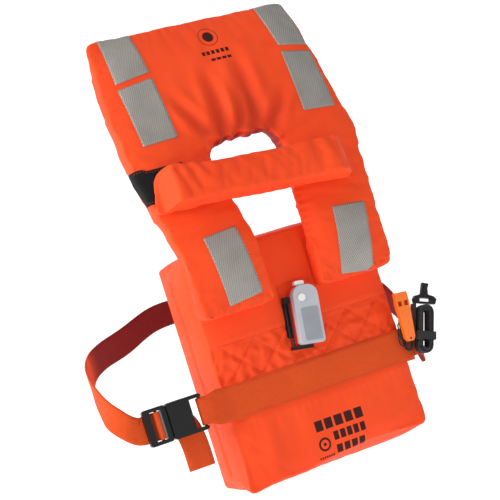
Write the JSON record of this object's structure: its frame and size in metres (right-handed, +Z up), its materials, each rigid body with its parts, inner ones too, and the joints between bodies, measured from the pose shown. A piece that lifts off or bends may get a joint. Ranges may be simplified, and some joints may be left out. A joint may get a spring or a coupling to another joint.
{
  "type": "life jacket",
  "caption": "Foam-filled ship's life jacket with a chest block, collar, neck pillow, waist belt with side-release buckle, light, whistle and stowed line.",
  "frame": {"origin": "middle of the chest block's back face, the face that lies on the wearer's chest", "axes": "+Z up as worn, +Y from the jacket's front towards the wearer, +X towards the wearer's left"},
  "size_m": [0.5358, 0.385, 0.672],
  "materials": {
    "orange_cloth": "plain-woven nylon, slightly glossy",
    "orange_webbing": "woven polyester webbing",
    "closed_cell_foam": "closed-cell foam, matt",
    "reflective_tape": "retro-reflective tape with a fine honeycomb",
    "hook_and_loop": "pile, matt",
    "black_plastic": "moulded acetal, satin",
    "black_cord": "braided cord, matt",
    "grey_plastic": "translucent moulded plastic, satin",
    "red_plastic": "moulded plastic, satin",
    "white_plastic": "moulded plastic, satin",
    "label_stock": "printed film",
    "whistle_orange": "moulded plastic, gloss",
    "cell_can": "plated steel",
    "circuit_board": "coated board"
  },
  "bodies": {
    "jacket": {"chest_cover": "orange_cloth", "left_lobe_cover": "orange_cloth", "right_lobe_cover": "orange_cloth", "pillow_seam_flange": "orange_cloth", "chest_foam_1": "closed_cell_foam", "chest_foam_2": "closed_cell_foam", "chest_foam_3": "closed_cell_foam", "left_lobe_foam": "closed_cell_foam", "right_lobe_foam": "closed_cell_foam", "velcro_loop_patch": "hook_and_loop", "lobe_tape_left": "reflective_tape", "lobe_tape_right": "reflective_tape", "belt_front": "orange_webbing", "belt_back_right": "orange_webbing", "buckle_female": "black_plastic", "light_bracket": "black_plastic", "light_back_case": "red_plastic", "light_front_case": "grey_plastic", "light_lens": "white_plastic", "light_board": "circuit_board", "light_cell_1": "cell_can", "light_cell_2": "cell_can", "light_label": "label_stock", "light_sensor": "black_plastic", "light_foot": "black_plastic", "light_lead_outer": "black_cord", "light_lead_inner": "black_cord", "whistle_lanyard_hank": "black_cord", "whistle_lanyard_tie": "hook_and_loop", "whistle_lanyard": "black_cord", "buddy_line_hank": "black_cord", "buddy_line_band": "hook_and_loop", "buddy_line_hook": "black_plastic", "buddy_line_strap": "hook_and_loop"},
    "collar": {"collar_cover": "orange_cloth", "collar_foam": "closed_cell_foam", "collar_tape_lower_left": "reflective_tape", "collar_tape_lower_right": "reflective_tape", "collar_tape_upper_left": "reflective_tape", "collar_tape_upper_right": "reflective_tape"},
    "neck_pillow": {"neck_pillow_cover": "orange_cloth", "neck_pillow_foam": "closed_cell_foam", "velcro_hook_patch": "hook_and_loop"},
    "buckle_male_half": {"buckle_male": "black_plastic", "belt_back_left": "orange_webbing", "belt_tail": "orange_webbing"},
    "prong_upper": {"buckle_prong_upper": "black_plastic"},
    "prong_lower": {"buckle_prong_lower": "black_plastic"},
    "light_button": {"light_button": "white_plastic"},
    "whistle": {"whistle": "whistle_orange"}
  },
  "joints": [
    {"name": "collar_fold", "type": "hinge", "parent": "jacket", "child": "collar", "pos_m": [0, -0.0844, 0.298], "axis": [1, 0, 0], "range_deg": [-75, 0]},
    {"name": "pillow_swing", "type": "hinge", "parent": "jacket", "child": "neck_pillow", "pos_m": [0.13074, -0.14222, 0.23789], "axis": [0.0802, 0.2611, 0.962], "range_deg": [0, 85]},
    {"name": "buckle_release", "type": "slide", "parent": "jacket", "child": "buckle_male_half", "axis": [-1, 0, 0], "range_m": [0, 0.045]},
    {"name": "prong_upper_flex", "type": "hinge", "parent": "buckle_male_half", "child": "prong_upper", "pos_m": [-0.2286, -0.127, -0.027], "axis": [0, 1, 0], "range_deg": [0, 6], "stiffness_Nm_per_rad": 0.3},
    {"name": "prong_lower_flex", "type": "hinge", "parent": "buckle_male_half", "child": "prong_lower", "pos_m": [-0.2286, -0.127, -0.053], "axis": [0, 1, 0], "range_deg": [-6, 0], "stiffness_Nm_per_rad": 0.3},
    {"name": "light_button_press", "type": "slide", "parent": "jacket", "child": "light_button", "axis": [0, 1, 0], "range_m": [0, 0.0012], "stiffness_N_per_m": 400},
    {"name": "whistle_swing", "type": "hinge", "parent": "jacket", "child": "whistle", "pos_m": [0.15171, -0.13642, -0.03588], "axis": [0, 1, 0], "range_deg": [-20, 0]}
  ],
  "couplings": [
    {"joint": "prong_lower_flex", "follows": "prong_upper_flex", "ratio": -1}
  ]
}
